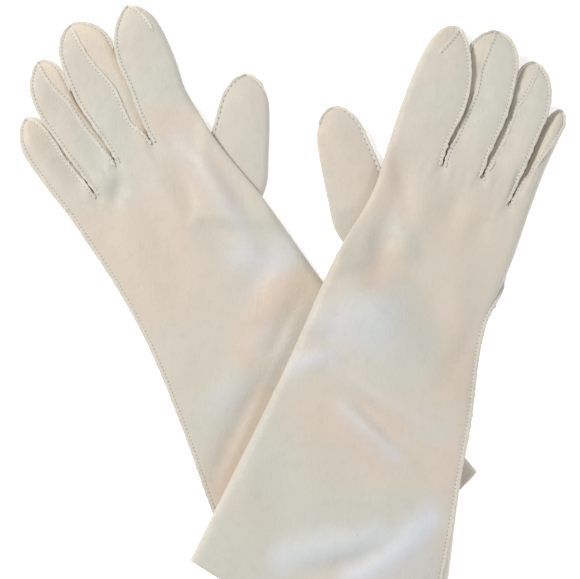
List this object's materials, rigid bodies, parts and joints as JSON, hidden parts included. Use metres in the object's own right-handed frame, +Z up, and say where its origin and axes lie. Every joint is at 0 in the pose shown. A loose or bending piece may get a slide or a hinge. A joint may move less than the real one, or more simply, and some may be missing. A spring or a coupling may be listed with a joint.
{
  "type": "pair of opera gloves",
  "caption": "Pair of elbow-length cream leather gloves, palm down and crossed at the sleeves, with outsewn finger seams and bending fingers.",
  "frame": {"origin": "centre of the pair on the surface that it lies on", "axes": "+Z up from the surface, +Y from the cuffs towards the fingertips, +X from the left glove's fingers towards the right glove's"},
  "size_m": [0.3146, 0.3927, 0.019],
  "materials": {
    "leather": "soft, matte cream kid with a fine grain and faint warm and cool patches",
    "fourchette": "the same kid, a little cooler, in the strips between the fingers",
    "hem": "the pared edge turned in at the cuff",
    "seam": "pale raw edges pressed together and oversewn with cream thread"
  },
  "bodies": {
    "left_hand": {"left_trank": "leather", "left_cuff_hem": "hem", "left_side_seam": "seam"},
    "left_thumb": {"left_thumb_panel": "leather", "left_thumb_seam": "seam"},
    "left_index": {"left_index_side": "fourchette", "left_index_panel": "leather", "left_index_seam": "seam"},
    "left_middle": {"left_middle_outer_side": "fourchette", "left_middle_palm": "leather", "left_middle_inner_side": "fourchette", "left_middle_back": "leather", "left_middle_inner_seam": "seam", "left_middle_outer_seam": "seam"},
    "left_ring": {"left_ring_outer_side": "fourchette", "left_ring_palm": "leather", "left_ring_inner_side": "fourchette", "left_ring_back": "leather", "left_ring_inner_seam": "seam", "left_ring_outer_seam": "seam"},
    "left_little": {"left_little_palm": "leather", "left_little_side": "fourchette", "left_little_back": "leather", "left_little_seam": "seam", "left_little_outer_seam": "seam"},
    "right_hand": {"right_trank": "leather", "right_cuff_hem": "hem", "right_side_seam": "seam"},
    "right_thumb": {"right_thumb_panel": "leather", "right_thumb_seam": "seam"},
    "right_index": {"right_index_side": "fourchette", "right_index_panel": "leather", "right_index_seam": "seam"},
    "right_middle": {"right_middle_outer_side": "fourchette", "right_middle_palm": "leather", "right_middle_inner_side": "fourchette", "right_middle_back": "leather", "right_middle_inner_seam": "seam", "right_middle_outer_seam": "seam"},
    "right_ring": {"right_ring_outer_side": "fourchette", "right_ring_palm": "leather", "right_ring_inner_side": "fourchette", "right_ring_back": "leather", "right_ring_inner_seam": "seam", "right_ring_outer_seam": "seam"},
    "right_little": {"right_little_palm": "leather", "right_little_side": "fourchette", "right_little_back": "leather", "right_little_seam": "seam", "right_little_outer_seam": "seam"}
  },
  "joints": [
    {"name": "right_glove_lift", "type": "slide", "parent": "left_hand", "child": "right_hand", "axis": [0, 0, 1], "range_m": [0, 0.12]},
    {"name": "left_index_bend", "type": "hinge", "parent": "left_hand", "child": "left_index", "pos_m": [-0.0647, 0.12847, 0.0092], "axis": [0.875, 0.4842, 0], "range_deg": [0, 75]},
    {"name": "left_middle_bend", "type": "hinge", "parent": "left_hand", "child": "left_middle", "pos_m": [-0.08841, 0.11535, 0.0092], "axis": [0.875, 0.4842, 0], "range_deg": [0, 75]},
    {"name": "left_ring_bend", "type": "hinge", "parent": "left_hand", "child": "left_ring", "pos_m": [-0.10696, 0.10508, 0.0092], "axis": [0.875, 0.4842, 0], "range_deg": [0, 75]},
    {"name": "left_little_bend", "type": "hinge", "parent": "left_hand", "child": "left_little", "pos_m": [-0.11658, 0.08261, 0.0092], "axis": [0.875, 0.4842, 0], "range_deg": [0, 75]},
    {"name": "left_thumb_spread", "type": "hinge", "parent": "left_hand", "child": "left_thumb", "pos_m": [-0.03166, 0.09418, 0.0035], "axis": [0, 0, -1], "range_deg": [-5, 10]},
    {"name": "right_index_bend", "type": "hinge", "parent": "right_hand", "child": "right_index", "pos_m": [0.06947, 0.11325, 0.0092], "axis": [0.9558, -0.294, 0], "range_deg": [0, 75]},
    {"name": "right_middle_bend", "type": "hinge", "parent": "right_hand", "child": "right_middle", "pos_m": [0.09613, 0.10504, 0.0092], "axis": [0.9558, -0.294, 0], "range_deg": [0, 75]},
    {"name": "right_ring_bend", "type": "hinge", "parent": "right_hand", "child": "right_ring", "pos_m": [0.1164, 0.09881, 0.0092], "axis": [0.9558, -0.294, 0], "range_deg": [0, 75]},
    {"name": "right_little_bend", "type": "hinge", "parent": "right_hand", "child": "right_little", "pos_m": [0.12709, 0.07983, 0.0092], "axis": [0.9558, -0.294, 0], "range_deg": [0, 75]},
    {"name": "right_thumb_spread", "type": "hinge", "parent": "right_hand", "child": "right_thumb", "pos_m": [0.04274, 0.07229, 0.0035], "axis": [0, 0, 1], "range_deg": [-5, 10]}
  ]
}
